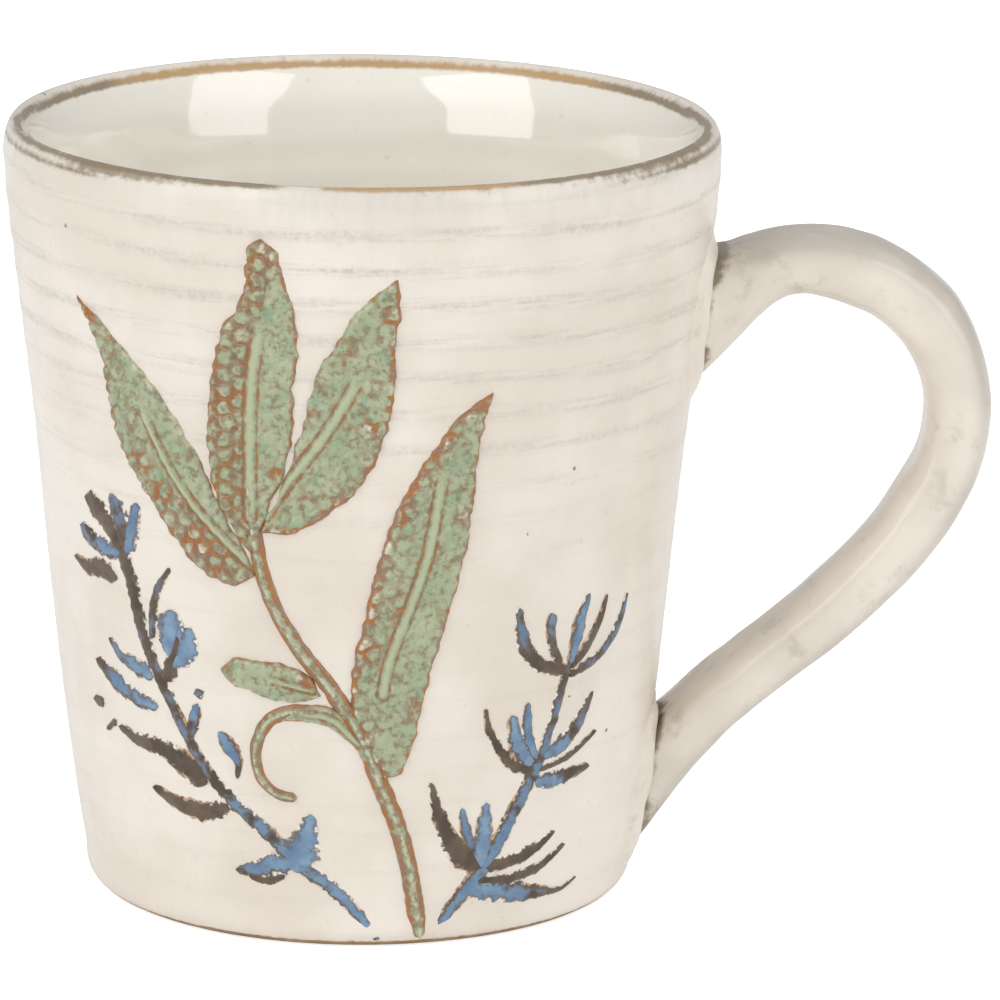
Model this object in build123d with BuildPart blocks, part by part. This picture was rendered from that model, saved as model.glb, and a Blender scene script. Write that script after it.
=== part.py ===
from build123d import *
from math import cos, hypot, radians, sin
import os

# A hand-thrown stoneware mug: thrown cup, pulled strap handle luted on with slip, and raised
# decoration on the front, which is sprays of sage laid on in clay and two sprigs in thick slip.
# Millimetres. The origin is the middle of the foot, +Z is up, the handle points along +X and
# the decorated front faces -Y.

os.makedirs("parts", exist_ok=True)

# ---- driving dimensions ----
HEIGHT = 100.8         # foot to the crest of the lip
WALL = [               # outer face of the thrown wall, (radius, height), foot to lip
    (35.0, 1.0), (36.0, 5.5), (37.8, 17.0), (40.1, 38.0), (42.2, 60.0), (44.6, 81.0), (46.0, 95.0),
]
INSIDE = [             # inner face, lip to the curve into the floor
    (41.5, 96.6), (39.3, 86.0), (37.9, 70.0), (36.5, 45.0), (34.9, 22.0), (34.2, 16.4),
]
LIP_CREST = (44.6, HEIGHT)
FLOOR_HEIGHT = 6.8
FLOOR_RADIUS = 23.6    # flat of the floor, inside the curve up into the wall
FOOT_OUTER = 32.6      # flat of the turned foot ring
FOOT_INNER = 29.0
RECESS_RADIUS = 27.6   # turned recess inside the ring
RECESS_DEPTH = 1.2

SLIP = 0.6             # slip that lutes the handle to the wall
LEAF_PROUD = 0.8       # applied clay leaves stand this far off the wall
STEM_PROUD = 1.0
BRUSH_PROUD = 0.45     # thick coloured slip of the two sprigs
WRAP = 41.0            # decoration is set out round the wall on this radius

# Handle sections along the strap: centre (x, z), thickness, width, and the strap's heading in
# degrees in the XZ plane, from inside the wall at the top to inside the wall at the bottom.
STRAP = [
    ((42.6, 75.5), 17.6, 17.0, -6),
    ((48.4, 79.5), 10.2, 15.6, 22),
    ((53.4, 82.2), 7.9, 14.6, 20),
    ((60.0, 82.4), 8.3, 14.4, -9),
    ((66.9, 80.2), 8.8, 14.4, -32),
    ((73.5, 75.0), 9.0, 14.4, -52),
    ((77.2, 66.0), 8.6, 14.4, -87),
    ((76.4, 56.8), 8.5, 14.4, -107),
    ((71.8, 47.9), 8.3, 14.4, -125),
    ((61.5, 36.4), 7.9, 14.4, -136),
    ((51.4, 28.0), 7.6, 14.6, -138),
    ((44.8, 22.2), 7.8, 15.2, -139),
    ((39.3, 16.2), 9.0, 15.8, -146),
    ((35.1, 10.1), 10.6, 16.0, -168),
]
STRAP_EDGE = 2.7       # radius of the strap's long edges
UPPER_ROOT_HEIGHT = 75.4
UPPER_ROOT_SIZE = (25.0, 21.6)   # slip pad, across and up
LOWER_ROOT_HEIGHT = 13.8
LOWER_ROOT_SIZE = (24.0, 23.4)


def wall_radius(height):
    """Radius of the outer face at a height, straight between the set points."""
    low = [point for point in WALL if point[1] <= height] or WALL[:1]
    high = [point for point in WALL if point[1] > height] or WALL[-1:]
    (r0, z0), (r1, z1) = low[-1], high[0]
    if z1 == z0:
        return r0
    return r0 + (r1 - r0) * (height - z0) / (z1 - z0)


def layer(inner, outer):
    """Section, to be revolved, of the layer between two distances off the wall's outer face."""
    with BuildSketch(Plane.YZ) as section:
        with BuildLine():
            near = Spline(*[(r + inner, z) for r, z in WALL])
            far = Spline(*[(r + outer, z) for r, z in WALL])
            Line(near @ 0, far @ 0)
            Line(near @ 1, far @ 1)
        make_face()
    return section.sketch


def facing(round_wall):
    """Plane through the mug's axis that looks outwards at a place round the wall."""
    turn = round_wall / WRAP
    return Plane(origin=(0, 0, 0), x_dir=(cos(turn), sin(turn), 0), z_dir=(sin(turn), -cos(turn), 0))


def flat(points, middle):
    """Turn (place round the wall, height) into the flat of the plane that faces `middle`."""
    return [(wall_radius(z) * sin((s - middle) / WRAP), z) for s, z in points]


def edges_of(spine, start_width, end_width):
    """Both edges of a brush stroke that runs along a spine and changes width evenly."""
    left = []
    right = []
    for i, (s, z) in enumerate(spine):
        before = spine[max(i - 1, 0)]
        after = spine[min(i + 1, len(spine) - 1)]
        run = hypot(after[0] - before[0], after[1] - before[1])
        across = ((before[1] - after[1]) / run, (after[0] - before[0]) / run)
        half = (start_width + (end_width - start_width) * i / (len(spine) - 1)) / 2
        left.append((s + across[0] * half, z + across[1] * half))
        right.append((s - across[0] * half, z - across[1] * half))
    return left, right


def raised(proud, leaves=(), strokes=(), clear_of=()):
    """Clay or slip on the wall. A leaf is two edges that share base and tip, a stroke is a spine
    with its two end widths, and `clear_of` holds the pieces that were laid on first."""
    places = [s for leaf in leaves for edge in leaf for s, z in edge]
    places += [s for spine, start, end in strokes for s, z in spine]
    middle = (min(places) + max(places)) / 2
    with BuildPart() as piece:
        with BuildSketch(facing(middle)):
            for left, right in leaves:
                with BuildLine():
                    Spline(*flat(left, middle))
                    Spline(*flat(right, middle))
                make_face()
            for spine, start, end in strokes:
                left, right = edges_of(spine, start, end)
                with BuildLine():
                    one = Spline(*flat(left, middle))
                    other = Spline(*flat(right, middle))
                    Line(one @ 0, other @ 0)
                    Line(one @ 1, other @ 1)
                make_face()
        extrude(amount=2 * WRAP)
        revolve(layer(0, proud), axis=Axis.Z, mode=Mode.INTERSECT)
        for laid in clear_of:
            add(laid.part, mode=Mode.SUBTRACT)
    return piece


def save(piece, name):
    piece.part.label = name
    export_step(piece.part, f"parts/{name}.step")


# ---- thrown cup: wall, floor and turned foot in one piece of clay ----
with BuildPart() as cup_body:
    with BuildSketch(Plane.YZ):
        with BuildLine():
            outer = Spline(*WALL)
            lip = Spline(
                outer @ 1, (46.1, 97.6), (45.7, 99.8), LIP_CREST, tangents=[outer % 1, (-1, 0)],
            )
            Polyline(
                lip @ 1, (0, HEIGHT), (0, RECESS_DEPTH), (RECESS_RADIUS, RECESS_DEPTH),
                (FOOT_INNER, 0), (FOOT_OUTER, 0),
            )
            TangentArc((FOOT_OUTER, 0), outer @ 0, tangent=(1, 0))
        make_face()
    revolve(axis=Axis.Z)
    with BuildSketch(Plane.YZ):
        with BuildLine():
            inside = Spline(*INSIDE)
            Spline(LIP_CREST, (43.3, 99.8), inside @ 0, tangents=[(-1, -0.2), inside % 0])
            TangentArc(inside @ 1, (FLOOR_RADIUS, FLOOR_HEIGHT), tangent=inside % 1)
            Polyline((FLOOR_RADIUS, FLOOR_HEIGHT), (0, FLOOR_HEIGHT), (0, HEIGHT), LIP_CREST)
        make_face()
    revolve(axis=Axis.Z, mode=Mode.SUBTRACT)
save(cup_body, "cup_body")

# ---- pulled strap handle, cut to the slip at both roots ----
with BuildPart() as handle:
    for (x, z), thickness, width, heading in STRAP:
        along = (cos(radians(heading)), 0, sin(radians(heading)))
        with BuildSketch(Plane(origin=(x, 0, z), x_dir=(0, 1, 0), z_dir=along)):
            RectangleRounded(width, thickness, STRAP_EDGE)
    loft()
    revolve(layer(-WALL[0][0] / 2, SLIP), axis=Axis.Z, mode=Mode.SUBTRACT)
save(handle, "handle")

# ---- slip pads that lute the two roots ----
for name, height, (across, up) in (
    ("upper_handle_slip", UPPER_ROOT_HEIGHT, UPPER_ROOT_SIZE),
    ("lower_handle_slip", LOWER_ROOT_HEIGHT, LOWER_ROOT_SIZE),
):
    with BuildPart() as pad:
        with BuildSketch(Plane.YZ):
            with Locations((0, height)):
                Ellipse(across / 2, up / 2)
        extrude(amount=2 * WRAP)
        revolve(layer(0, SLIP), axis=Axis.Z, mode=Mode.INTERSECT)
    save(pad, name)

# ---- sage spray: one stem and six clay leaves ----
sage_stem = raised(
    STEM_PROUD,
    strokes=[([(9.2, 1.6), (7.3, 11), (4, 20.5), (0, 29.5), (-6, 38.5), (-11, 46.5), (-13, 55),
               (-13.6, 62)], 2.8, 2.0)],
)
save(sage_stem, "sage_stem")

sage_leaf_tall = raised(
    LEAF_PROUD,
    leaves=[(
        [(3.6, 23.5), (-0.6, 33), (0.4, 45), (3.6, 57), (8.4, 67.5), (15.8, 74.4)],
        [(3.6, 23.5), (7, 27), (9.6, 38), (12.8, 50), (14.1, 62), (15.8, 74.4)],
    )],
    clear_of=[sage_stem],
)
save(sage_leaf_tall, "sage_leaf_tall")

sage_leaf_centre = raised(
    LEAF_PROUD,
    leaves=[(
        [(-13.4, 53), (-17.8, 59), (-18.9, 67), (-17.7, 76), (-15.2, 84), (-11.2, 94)],
        [(-13.4, 53), (-10.4, 58), (-8, 66), (-7.6, 75), (-7.4, 83), (-11.2, 94)],
    )],
    clear_of=[sage_stem],
)
save(sage_leaf_centre, "sage_leaf_centre")

sage_leaf_left = raised(
    LEAF_PROUD,
    leaves=[(
        [(-13, 49.8), (-18.5, 48.7), (-25, 54.6), (-30, 61), (-33.4, 70), (-38, 83.3)],
        [(-13, 49.8), (-16.6, 59), (-20.4, 66), (-25, 72.6), (-31, 78.4), (-38, 83.3)],
    )],
    clear_of=[sage_stem, sage_leaf_centre],
)
save(sage_leaf_left, "sage_leaf_left")

sage_leaf_right = raised(
    LEAF_PROUD,
    leaves=[(
        [(-12.4, 55.4), (-9, 63), (-7, 71), (-4.4, 79), (-1, 85), (4.1, 89.8)],
        [(-12.4, 55.4), (-6, 56.8), (-1, 60.8), (3, 69), (4, 79), (4.1, 89.8)],
    )],
    clear_of=[sage_stem, sage_leaf_centre],
)
save(sage_leaf_right, "sage_leaf_right")

sage_leaf_low = raised(
    LEAF_PROUD,
    leaves=[(
        [(-5, 34.2), (-10, 33.7), (-15, 34.7), (-18.6, 37)],
        [(-5, 34.2), (-7, 38.4), (-13, 39), (-18.6, 37)],
    )],
    clear_of=[sage_stem],
)
save(sage_leaf_low, "sage_leaf_low")

sage_leaf_curled = raised(
    LEAF_PROUD,
    leaves=[(
        [(2.4, 23.4), (-0.6, 27), (-4.6, 30.4), (-10, 30.6)],
        [(2.4, 23.4), (1.6, 28.6), (-4, 33.2), (-10, 30.6)],
    )],
    strokes=[([(-5, 32.2), (-9.6, 32.2), (-13.2, 29.2), (-13.7, 25.2), (-11.6, 21.6), (-8.6, 20.6)],
              1.8, 1.2)],
    clear_of=[sage_stem, sage_leaf_tall, sage_leaf_low],
)
save(sage_leaf_curled, "sage_leaf_curled")

# ---- left sprig, brushed on in thick slip ----
left_sprig_stem = raised(
    BRUSH_PROUD,
    strokes=[([(3, 1.6), (-5, 9.3), (-12, 14.8), (-21, 22.6), (-27, 32.5), (-31, 42), (-33.4, 51)],
              1.6, 2.0)],
)
save(left_sprig_stem, "left_sprig_stem")

left_sprig_groups = {
    "left_sprig_floret": [
        ([(-33.4, 50.6), (-36.6, 54.6), (-40.3, 56.4)], 1.8, 2.6),
        ([(-33.0, 51.2), (-33.6, 54.8), (-34.8, 58)], 2.2, 2.4),
        ([(-32.6, 50.6), (-31, 54), (-30, 57.4)], 2.0, 1.3),
        ([(-33.4, 49.8), (-38, 50.6), (-42, 52.2)], 1.6, 2.2),
        ([(-34.6, 46.8), (-39, 47), (-44.4, 47.4)], 2.2, 1.3),
    ],
    "left_sprig_outer_leaves": [
        ([(-28.4, 34.4), (-33, 35.8), (-37.4, 37.8)], 2.0, 1.0),
        ([(-27.6, 30.4), (-34.2, 31.8), (-40.8, 34.4)], 2.1, 1.5),
        ([(-21.6, 21.6), (-26, 24), (-31, 25), (-37, 26.2)], 3.6, 1.4),
        ([(-17.6, 18.6), (-24, 17.6), (-31, 19)], 1.8, 1.2),
        ([(-40, 28.6), (-41.4, 28.6), (-43, 28.4)], 1.8, 1.4),
    ],
    "left_sprig_inner_leaves": [
        ([(-29.6, 39.4), (-28, 44.4), (-25.6, 49.2)], 0.9, 1.0),
        ([(-26.6, 34), (-25.6, 38), (-24.4, 44.6)], 3.6, 4.4),
        ([(-24.4, 26.2), (-23, 29), (-21.8, 32)], 2.2, 1.2),
        ([(-16.8, 23), (-17.2, 26), (-19, 28.4)], 0.9, 1.8),
    ],
    "left_sprig_bud": [
        ([(-8.6, 11), (-8, 14), (-6.4, 18.2)], 4.8, 1.6),
        ([(-9, 11.4), (-13, 10.4), (-17.6, 10.2)], 2.6, 1.0),
    ],
}
for name, strokes in left_sprig_groups.items():
    save(raised(BRUSH_PROUD, strokes=strokes, clear_of=[left_sprig_stem]), name)

# ---- right sprig ----
right_sprig_stem = raised(
    BRUSH_PROUD,
    strokes=[([(12.2, 2), (15.4, 6.4), (20.5, 13.8), (25.5, 23), (28.4, 30.6), (29.8, 36.6)],
              1.8, 1.5)],
)
save(right_sprig_stem, "right_sprig_stem")

right_sprig_groups = {
    "right_sprig_top_whorl": [
        ([(29.6, 35.8), (24.6, 37.2), (22, 40.4), (21.1, 45.2)], 1.4, 1.2),
        ([(28.6, 36.6), (26.6, 39.8), (26, 44)], 1.2, 1.1),
        ([(29.8, 36), (31, 41), (32.4, 45.2)], 1.5, 1.7),
        ([(30, 35.6), (34, 39.6), (36, 44)], 1.2, 1.0),
        ([(29.8, 34.8), (35.8, 36.6), (39.4, 39.6), (40.5, 43.6)], 1.4, 1.0),
    ],
    "right_sprig_middle_whorl": [
        ([(25.2, 22.8), (21, 24.6), (18.4, 28.2), (17, 32)], 1.2, 0.8),
        ([(24.8, 23.4), (22.4, 26.8), (20.8, 30.6)], 1.6, 2.0),
        ([(25.4, 24), (23.8, 27.6), (23, 32)], 1.3, 1.4),
        ([(26.4, 24.4), (31.6, 26.8), (35, 31.4)], 1.8, 1.1),
        ([(25.6, 22.6), (31, 23.6), (36.4, 26)], 1.0, 0.8),
        ([(25, 21.4), (31, 21.2), (35.4, 21)], 1.8, 1.3),
    ],
    "right_sprig_low_whorl": [
        ([(18.2, 10.6), (13.4, 14), (11, 18.6), (9.8, 22.6)], 2.4, 1.1),
        ([(18, 11), (15.8, 15.4), (14.6, 19)], 1.4, 1.1),
        ([(17.8, 9.8), (18, 14), (18, 19)], 3.6, 1.2),
        ([(18.4, 10.4), (25, 11.4), (30, 13.6)], 1.6, 1.2),
        ([(17.4, 8.6), (24, 8.6), (32.4, 11.4)], 1.4, 1.0),
        ([(16, 7.6), (23, 6.4), (31, 5.4)], 2.6, 1.3),
    ],
}
for name, strokes in right_sprig_groups.items():
    save(raised(BRUSH_PROUD, strokes=strokes, clear_of=[right_sprig_stem]), name)
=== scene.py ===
from bisect import bisect_right
from itertools import accumulate
from math import ceil, cos, exp, hypot, pi, radians, sin, sqrt

import bmesh
import bpy
from mathutils import Matrix, Vector, noise
from mathutils.kdtree import KDTree


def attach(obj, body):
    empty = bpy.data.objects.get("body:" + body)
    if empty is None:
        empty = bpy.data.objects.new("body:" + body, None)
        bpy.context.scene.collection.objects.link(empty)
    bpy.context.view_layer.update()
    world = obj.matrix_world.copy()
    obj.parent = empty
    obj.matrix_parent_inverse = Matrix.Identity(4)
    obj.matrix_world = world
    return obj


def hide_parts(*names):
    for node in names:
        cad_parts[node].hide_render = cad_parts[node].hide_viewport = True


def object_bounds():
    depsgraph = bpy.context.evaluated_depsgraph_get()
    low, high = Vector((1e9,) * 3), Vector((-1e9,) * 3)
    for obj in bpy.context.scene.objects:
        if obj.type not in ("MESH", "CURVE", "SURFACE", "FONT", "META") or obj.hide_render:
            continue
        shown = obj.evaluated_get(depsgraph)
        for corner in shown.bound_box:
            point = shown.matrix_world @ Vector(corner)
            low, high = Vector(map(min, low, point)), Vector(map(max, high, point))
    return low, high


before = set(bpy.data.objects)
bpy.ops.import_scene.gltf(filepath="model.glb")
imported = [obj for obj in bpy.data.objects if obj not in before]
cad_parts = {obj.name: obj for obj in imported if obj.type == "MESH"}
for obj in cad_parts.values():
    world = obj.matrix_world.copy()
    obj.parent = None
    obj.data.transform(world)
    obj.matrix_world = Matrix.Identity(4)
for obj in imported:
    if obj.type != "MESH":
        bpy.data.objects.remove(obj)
cad_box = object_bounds()

# A hand-thrown stoneware mug. Lengths are millimetres until a mesh is made. Decoration is set out
# as (place round the wall from the front, height), on the radius WRAP.

MM = 0.001
HEIGHT = cad_box[1].z / MM
WRAP = 41.0

WALL = [(35.0, 1.0), (36.0, 5.5), (37.8, 17.0), (40.1, 38.0), (42.2, 60.0), (44.6, 81.0), (46.0, 95.0)]
FOOT = [(0, 1.2), (14, 1.2), (27.2, 1.2), (28.1, 0.8), (28.9, 0.1), (30.6, 0), (32.4, 0), (34.0, 0.25)]
CREST = (44.6, HEIGHT)     # highest round of the lip
LIP = [(46.1, 97.6), (45.8, 99.4), (45.3, 100.4), CREST, (43.9, 100.5), (43.4, 99.8), (42.5, 98.5)]
INSIDE = [(41.5, 96.6), (39.3, 86.0), (37.9, 70.0), (36.5, 45.0), (34.9, 22.0), (33.0, 13.4),
          (29.4, 8.9), (23.6, 6.9), (12, 6.8), (0, 6.8)]
RING_PITCH = 4.7           # fingers rise this much for each turn of the wheel
RING_RIDGE = 0.045         # finger rings outside stand this far either side of the wall
RING_RIDGE_INSIDE = 0.035
RINGS_RISE = (45, 78)      # heights between which the rings grow from faint to full
TURN_STEPS = 384           # points round the cup
OUTLINE_STEP = 0.8         # distance between points along the cup's outline

STRAP = [                  # centre x, centre z, heading in degrees, thickness, width
    (42.6, 74.9, -6, 17.4, 17.0), (48.4, 79.5, 22, 10.2, 15.6), (53.4, 82.2, 20, 7.9, 14.6),
    (60.0, 82.4, -9, 8.3, 14.4), (66.9, 80.2, -32, 8.8, 14.4), (73.5, 75.0, -52, 9.0, 14.4),
    (77.2, 66.0, -87, 8.6, 14.4), (76.4, 56.8, -107, 8.5, 14.4), (71.8, 47.9, -125, 8.3, 14.4),
    (61.5, 36.4, -136, 7.9, 14.4), (51.4, 28.0, -138, 7.6, 14.6), (44.8, 22.2, -139, 7.8, 15.2),
    (39.3, 16.2, -146, 9.0, 15.8), (35.1, 10.1, -168, 10.6, 16.0),
]


# ---- lines and surfaces ----

def through(points, steps):
    """A smooth line through points, with `steps` short stretches from each to the next."""
    gaps = [hypot(b[0] - a[0], b[1] - a[1]) for a, b in zip(points, points[1:])]
    slopes = [[(q - p) / gap for p, q in zip(a, b)] for a, b, gap in zip(points, points[1:], gaps)]
    leans = [slopes[0]]
    for i in range(1, len(gaps)):
        share = gaps[i] / (gaps[i - 1] + gaps[i])
        leans.append([p * share + q * (1 - share) for p, q in zip(slopes[i - 1], slopes[i])])
    leans.append(slopes[-1])
    line = []
    for i, gap in enumerate(gaps):
        for k in range(steps):
            t = k / steps
            line.append(tuple(
                a * (1 - t) ** 2 * (1 + 2 * t) + b * t * t * (3 - 2 * t)
                + gap * (m * t * (1 - t) ** 2 - n * t * t * (1 - t))
                for a, b, m, n in zip(points[i], points[i + 1], leans[i], leans[i + 1])
            ))
    return line + [tuple(points[-1])]


def run_along(line):
    """Distance from the start of a line to each of its points."""
    return [0.0, *accumulate(hypot(b[0] - a[0], b[1] - a[1]) for a, b in zip(line, line[1:]))]


def even(line, count):
    """`count` equal stretches of a line, as count + 1 points."""
    run = run_along(line)
    spaced = []
    for k in range(count + 1):
        at = run[-1] * k / count
        i = min(bisect_right(run, at), len(line) - 1)
        share = (at - run[i - 1]) / max(run[i] - run[i - 1], 1e-9)
        spaced.append(tuple(p + (q - p) * share for p, q in zip(line[i - 1], line[i])))
    return spaced


def length_of(line):
    return run_along(line)[-1]


def sideways(line, i):
    """Unit direction across a line at one of its points, to the right of its run."""
    before, after = line[max(i - 1, 0)], line[min(i + 1, len(line) - 1)]
    run = hypot(after[0] - before[0], after[1] - before[1])
    return (after[1] - before[1]) / run, (before[0] - after[0]) / run


def rounded_end(distance, half, least):
    """How much of its half width a stroke has at a distance from its end."""
    return sqrt(max(1 - max(1 - distance / half, 0) ** 2, least))


def bell(value, width, power=2):
    """1 at zero, falling softly to nothing on both sides; a higher power has a flatter top."""
    return exp(-(value / width) ** power)


def step_up(low, high, value):
    """0 below low, 1 above high, and a soft rise between them."""
    t = min(max((value - low) / (high - low), 0.0), 1.0)
    return t * t * (3 - 2 * t)


def waver(x, y, size, seed=0.0):
    """Soft noise from -1 to 1 that changes over `size` millimetres."""
    return noise.noise(Vector((x / size, y / size, seed)))


wall_line = even(through(WALL, 20), 400)
wall_heights = [z for r, z in wall_line]


def wall_radius(height):
    i = min(max(bisect_right(wall_heights, height), 1), len(wall_line) - 1)
    (r0, z0), (r1, z1) = wall_line[i - 1], wall_line[i]
    return r0 + (r1 - r0) * (height - z0) / (z1 - z0)


def finger_ring(turn, height):
    """Ridge from -1 to 1 that the potter's fingers left as they rose round the wall."""
    drift = 0.6 * noise.noise(Vector((cos(turn), sin(turn), height / 22)))
    return sin(2 * pi * (height / RING_PITCH + turn / (2 * pi)) + 2 * drift)


def thrown(turn, height, ridge=RING_RIDGE):
    """How far the wall stands off its true round, in millimetres."""
    ridge *= 0.3 + 0.7 * step_up(*RINGS_RISE, height)
    uneven = noise.noise(Vector((1.3 * cos(turn), 1.3 * sin(turn), height / 34)))
    return ridge * finger_ring(turn, height) + 0.2 * uneven


def on_wall(place, height, lift):
    """The point a little off the wall at a place round it and a height."""
    turn = place / WRAP
    radius = wall_radius(height) + thrown(turn, height) + lift
    return Vector((radius * sin(turn), -radius * cos(turn), height))


def add(name, data):
    """A new object in the scene."""
    made = bpy.data.objects.new(name, data)
    bpy.context.scene.collection.objects.link(made)
    return made


class Clay:
    """Points, faces and surface masks of one piece while it is being built."""

    def __init__(self, *masks):
        self.points = []
        self.faces = []
        self.masks = {mask: [] for mask in masks}

    def point(self, place, **values):
        self.points.append(place)
        for mask, kept in self.masks.items():
            kept.append(values[mask])

    def net(self, start, rows, across, ring=False):
        """Faces between rows of points laid one after another; a ring's rows close on themselves."""
        for i in range(rows - 1):
            for j in range(across if ring else across - 1):
                near = start + i * across
                far = near + across
                k = (j + 1) % across
                self.faces.append((near + j, near + k, far + k, far + j))

    def close_under(self, start, rows, across):
        """Underside and both ends of a net that lies on the wall."""
        for i in range(rows - 1):
            near = start + i * across
            self.faces.append((near, near + across, near + 2 * across - 1, near + across - 1))
        self.faces.append(tuple(start + j for j in range(across)))
        last = start + (rows - 1) * across
        self.faces.append(tuple(last + j for j in reversed(range(across))))

    def close_ends(self, rows, across):
        """Flat faces over the first and the last row of a net of rings."""
        for first in (0, (rows - 1) * across):
            self.faces.append(tuple(range(first, first + across)))

    def fire(self, name, finish, slot, *nodes):
        """Make the piece, glaze it, and let it stand for its CAD nodes."""
        mesh = bpy.data.meshes.new(name)
        mesh.from_pydata([p * MM for p in self.points], [], self.faces)
        for mask, values in self.masks.items():
            mesh.attributes.new(mask, "FLOAT", "POINT").data.foreach_set("value", values)
        built = bmesh.new()
        built.from_mesh(mesh)
        bmesh.ops.recalc_face_normals(built, faces=built.faces)
        built.to_mesh(mesh)
        built.free()
        mesh.shade_smooth()
        mesh.materials.append(finish)
        piece = add(name, mesh)
        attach(piece, "root")
        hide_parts(*nodes)


# ---- finishes ----

def srgb(*levels):
    """A colour as paint charts give it, 0 to 255, turned into light."""
    light = [v / 255 / 12.92 if v < 11 else ((v / 255 + 0.055) / 1.055) ** 2.4 for v in levels]
    return (*light, 1.0)


def put(tree, kind, inputs=(), **settings):
    """Add a shader node; an input is given a value or another node's output."""
    node = tree.nodes.new("ShaderNode" + kind)
    for name, value in settings.items():
        setattr(node, name, value)
    for name, value in dict(inputs).items():
        if isinstance(value, bpy.types.NodeSocket):
            tree.links.new(value, node.inputs[name])
        else:
            node.inputs[name].default_value = value
    return node


def sums(tree, operation, a, b):
    return put(tree, "Math", {0: a, 1: b}, operation=operation).outputs[0]


def times(tree, a, b):
    return sums(tree, "MULTIPLY", a, b)


def plus(tree, a, b):
    return sums(tree, "ADD", a, b)


def centred(tree, value):
    """Turn noise from 0 to 1 into noise from -0.5 to 0.5."""
    return sums(tree, "SUBTRACT", value, 0.5)


def broken(tree, value, uneven, amount):
    """Break up the edge of a mask with centred noise."""
    return plus(tree, value, times(tree, uneven, amount))


def noisy(tree, place, scale, detail, roughness=0.5):
    """Noise from 0 to 1, finer as its scale grows."""
    inputs = {"Vector": place, "Scale": scale, "Detail": detail, "Roughness": roughness}
    return put(tree, "TexNoise", inputs).outputs["Fac"]


def soft(tree, value, low, high, start=0.0, end=1.0):
    """Turn a value that runs from low to high into one that runs softly from start to end."""
    inputs = {"Value": value, "From Min": low, "From Max": high, "To Min": start, "To Max": end}
    return put(tree, "MapRange", inputs, interpolation_type="SMOOTHSTEP").outputs["Result"]


def tint(tree, amount, under, over, mode="MIX"):
    """Lay one colour over another by an amount from 0 to 1."""
    mix = put(tree, "Mix", {0: amount, 6: under, 7: over}, data_type="RGBA", blend_type=mode)
    return mix.outputs[2]


def between(tree, amount, low, high):
    return put(tree, "Mix", {0: amount, 2: low, 3: high}, data_type="FLOAT").outputs[0]


def mask(tree, name):
    return put(tree, "Attribute", attribute_name=name, attribute_type="GEOMETRY").outputs["Fac"]


def group(name, takes, gives):
    """A node group with named inputs and outputs; returns its tree, its inputs and its end node."""
    tree = bpy.data.node_groups.new(name, "ShaderNodeTree")
    for socket, (kind, value) in takes.items():
        made = tree.interface.new_socket(socket, in_out="INPUT", socket_type="NodeSocket" + kind)
        if value is not None:
            made.default_value = value
    for socket, kind in gives.items():
        tree.interface.new_socket(socket, in_out="OUTPUT", socket_type="NodeSocket" + kind)
    return tree, tree.nodes.new("NodeGroupInput").outputs, tree.nodes.new("NodeGroupOutput").inputs


def iron_speck_group():
    """Small dark specks where iron in the clay burns through the glaze."""
    tree, given, out = group(
        "iron specks",
        {"Place": ("Vector", None), "Spacing": ("Float", 160.0), "Size": ("Float", 0.08),
         "Share": ("Float", 0.25)},
        {"Mask": "Float"},
    )
    warp = put(tree, "TexNoise", {"Vector": given["Place"], "Scale": 900.0, "Detail": 2.0})
    pushed = put(tree, "VectorMath", {0: warp.outputs["Color"], 1: (0.0008, 0.0008, 0.0008)},
                 operation="MULTIPLY")
    moved = put(tree, "VectorMath", {0: given["Place"], 1: pushed.outputs[0]}, operation="ADD")
    cells = put(tree, "TexVoronoi", {"Vector": moved.outputs[0], "Scale": given["Spacing"]})
    chosen = put(tree, "SeparateColor", {"Color": cells.outputs["Color"]})
    here = sums(tree, "LESS_THAN", chosen.outputs[0], given["Share"])
    size = times(tree, given["Size"], soft(tree, chosen.outputs[1], 0.0, 1.0, 0.35, 1.0))
    dot = soft(tree, sums(tree, "DIVIDE", cells.outputs["Distance"], size), 0.5, 1.0, 1.0, 0.0)
    tree.links.new(times(tree, dot, here), out["Mask"])
    return tree


def glaze_cloud_group():
    """Broad and fine clouding of a stoneware glaze, 0 thin to 1 thick."""
    tree, given, out = group(
        "glaze cloud",
        {"Place": ("Vector", None), "Broad": ("Float", 45.0), "Fine": ("Float", 420.0)},
        {"Cloud": "Float", "Grain": "Float"},
    )
    broad = noisy(tree, given["Place"], given["Broad"], 5.0, 0.55)
    fine = noisy(tree, given["Place"], given["Fine"], 3.0)
    tree.links.new(soft(tree, broad, 0.32, 0.68), out["Cloud"])
    tree.links.new(soft(tree, fine, 0.3, 0.7), out["Grain"])
    return tree


def glaze_skin_group():
    """Height of a fired glaze: slow waves with a little orange peel and a few pinholes."""
    tree, given, out = group("glaze skin", {"Place": ("Vector", None)}, {"Height": "Float"})
    waves = noisy(tree, given["Place"], 130.0, 3.0)
    peel = noisy(tree, given["Place"], 1100.0, 2.0)
    holes = put(tree, "TexVoronoi", {"Vector": given["Place"], "Scale": 210.0})
    pit = soft(tree, holes.outputs["Distance"], 0.03, 0.1, -0.6, 0.0)
    chosen = put(tree, "SeparateColor", {"Color": holes.outputs["Color"]})
    pit = times(tree, pit, sums(tree, "LESS_THAN", chosen.outputs[0], 0.12))
    height = plus(tree, times(tree, peel, 0.22), waves)
    tree.links.new(plus(tree, height, pit), out["Height"])
    return tree


iron_specks = iron_speck_group()
glaze_cloud = glaze_cloud_group()
glaze_skin = glaze_skin_group()


def use(tree, made, **values):
    return put(tree, "Group", values, node_tree=made).outputs


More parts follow.
